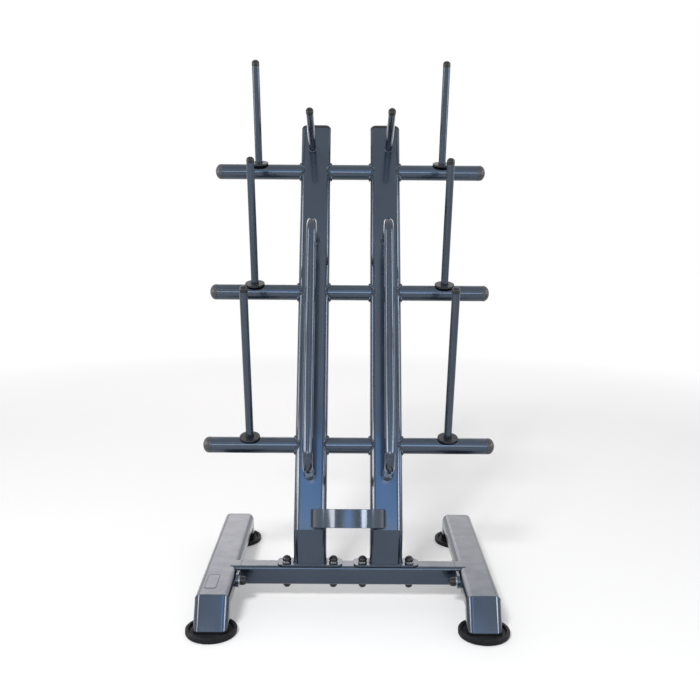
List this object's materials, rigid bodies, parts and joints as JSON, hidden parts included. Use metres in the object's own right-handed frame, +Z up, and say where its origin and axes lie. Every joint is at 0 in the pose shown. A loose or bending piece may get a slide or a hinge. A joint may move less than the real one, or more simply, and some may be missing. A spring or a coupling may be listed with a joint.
{
  "type": "barbell rack",
  "caption": "Leaning barbell rack on a bolted H base, with cross bars, plate pegs, grab handles and a cradle ring.",
  "frame": {"origin": "on the floor, below the middle of the rack's bounding box", "axes": "+Z up, the front faces -Y, +X to the right seen from the front"},
  "size_m": [0.94, 0.898, 1.6908],
  "materials": {
    "frame_paint": "satin graphite-blue powder coat",
    "black_plastic": "satin black moulding",
    "foot_rubber": "matt black rubber",
    "bolt_steel": "zinc-plated steel"
  },
  "bodies": {
    "root": {"left_leg_tube": "frame_paint", "left_end_flange": "frame_paint", "left_base_plate": "frame_paint", "left_upright_stub": "frame_paint", "left_upright": "frame_paint", "left_top_peg": "frame_paint", "left_handle": "frame_paint", "left_front_leg_post": "frame_paint", "left_rear_leg_post": "frame_paint", "left_lower_plate_peg": "frame_paint", "left_middle_plate_peg": "frame_paint", "left_upper_plate_peg": "frame_paint", "right_leg_tube": "frame_paint", "right_end_flange": "frame_paint", "right_base_plate": "frame_paint", "right_upright_stub": "frame_paint", "right_upright": "frame_paint", "right_top_peg": "frame_paint", "right_handle": "frame_paint", "right_front_leg_post": "frame_paint", "right_rear_leg_post": "frame_paint", "right_lower_plate_peg": "frame_paint", "right_middle_plate_peg": "frame_paint", "right_upper_plate_peg": "frame_paint", "cross_tube": "frame_paint", "lower_bar": "frame_paint", "middle_bar": "frame_paint", "upper_bar": "frame_paint", "cradle": "frame_paint", "left_upright_cap": "black_plastic", "left_outer_base_bolt_cap": "black_plastic", "left_inner_base_bolt_cap": "black_plastic", "left_lower_peg_collar": "black_plastic", "left_lower_bar_cap": "black_plastic", "left_middle_peg_collar": "black_plastic", "left_middle_bar_cap": "black_plastic", "left_upper_peg_collar": "black_plastic", "left_upper_bar_cap": "black_plastic", "right_upright_cap": "black_plastic", "right_outer_base_bolt_cap": "black_plastic", "right_inner_base_bolt_cap": "black_plastic", "right_lower_peg_collar": "black_plastic", "right_lower_bar_cap": "black_plastic", "right_middle_peg_collar": "black_plastic", "right_middle_bar_cap": "black_plastic", "right_upper_peg_collar": "black_plastic", "right_upper_bar_cap": "black_plastic", "left_front_foot": "foot_rubber", "left_rear_foot": "foot_rubber", "right_front_foot": "foot_rubber", "right_rear_foot": "foot_rubber", "left_front_flange_bolt": "bolt_steel", "left_rear_flange_bolt": "bolt_steel", "left_outer_base_bolt": "bolt_steel", "left_inner_base_bolt": "bolt_steel", "right_front_flange_bolt": "bolt_steel", "right_rear_flange_bolt": "bolt_steel", "right_outer_base_bolt": "bolt_steel", "right_inner_base_bolt": "bolt_steel"}
  },
  "joints": []
}
